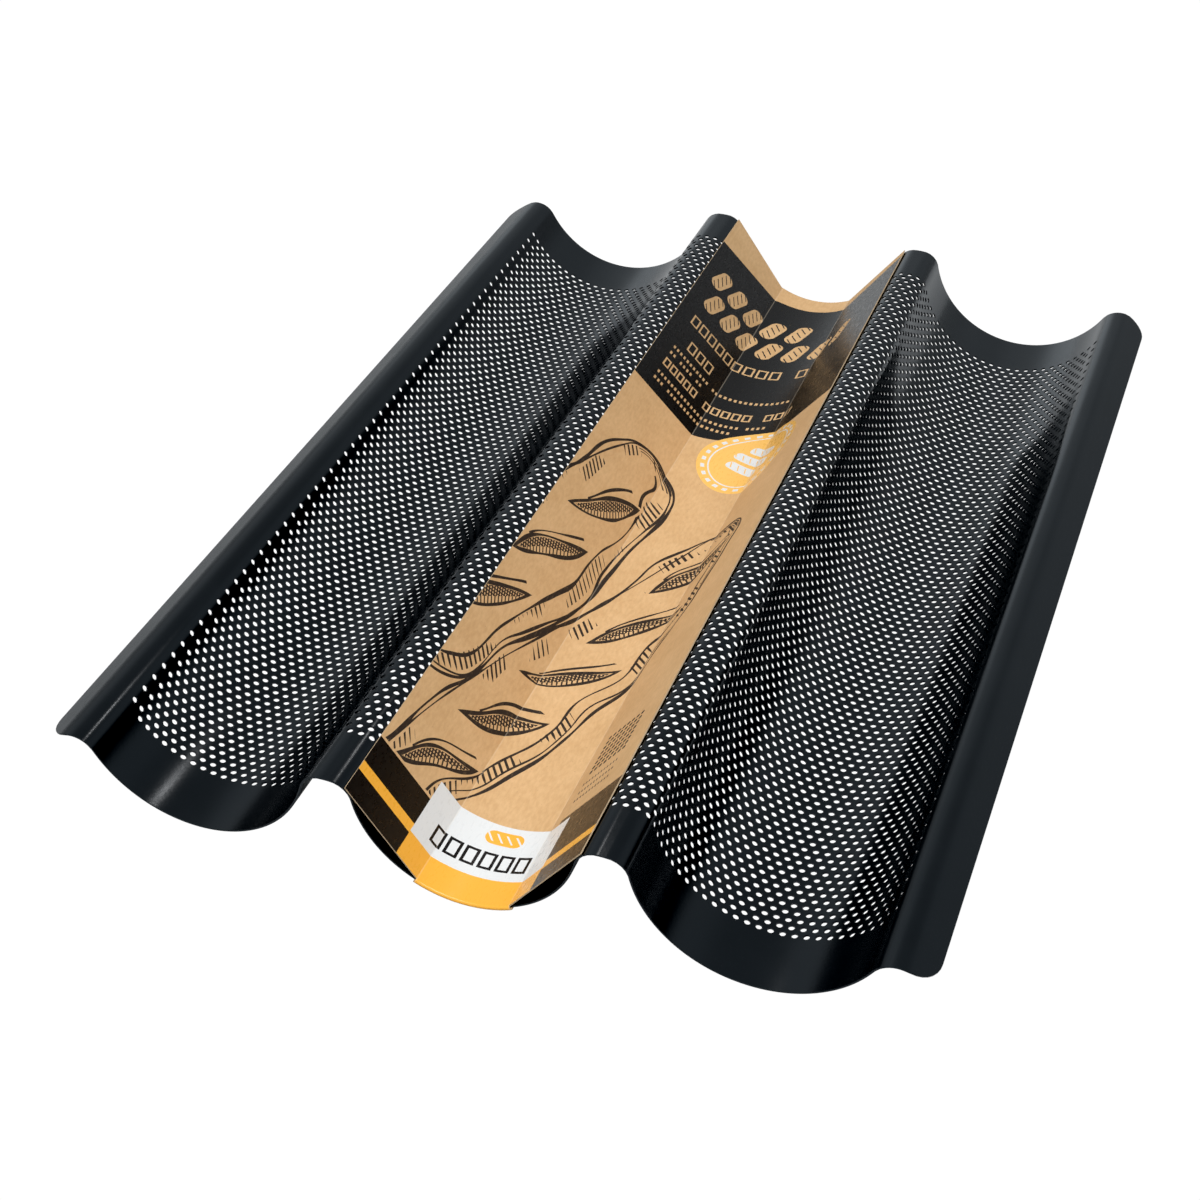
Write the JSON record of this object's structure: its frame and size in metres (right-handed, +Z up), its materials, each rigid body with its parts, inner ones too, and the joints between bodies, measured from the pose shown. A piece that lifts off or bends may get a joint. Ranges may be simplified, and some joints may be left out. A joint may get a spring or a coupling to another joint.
{
  "type": "baguette tray",
  "caption": "Perforated steel baking tray pressed into round loaf troughs side by side, with rolled side flanges and a folded card band in the middle trough.",
  "frame": {"origin": "on the surface that the tray stands on, under the middle of the tray", "axes": "+Y along the troughs, towards the rear end; +X across the troughs, to the right; +Z up"},
  "size_m": [0.2796, 0.387, 0.0351],
  "materials": {
    "coated_steel": "dark non-stick coating, satin",
    "kraft_card": "brown kraft card, printed",
    "adhesive": "clear removable adhesive"
  },
  "bodies": {
    "root": {"tray_sheet": "coated_steel", "card_band": "kraft_card", "front_glue_dot": "adhesive", "rear_glue_dot": "adhesive"}
  },
  "joints": []
}
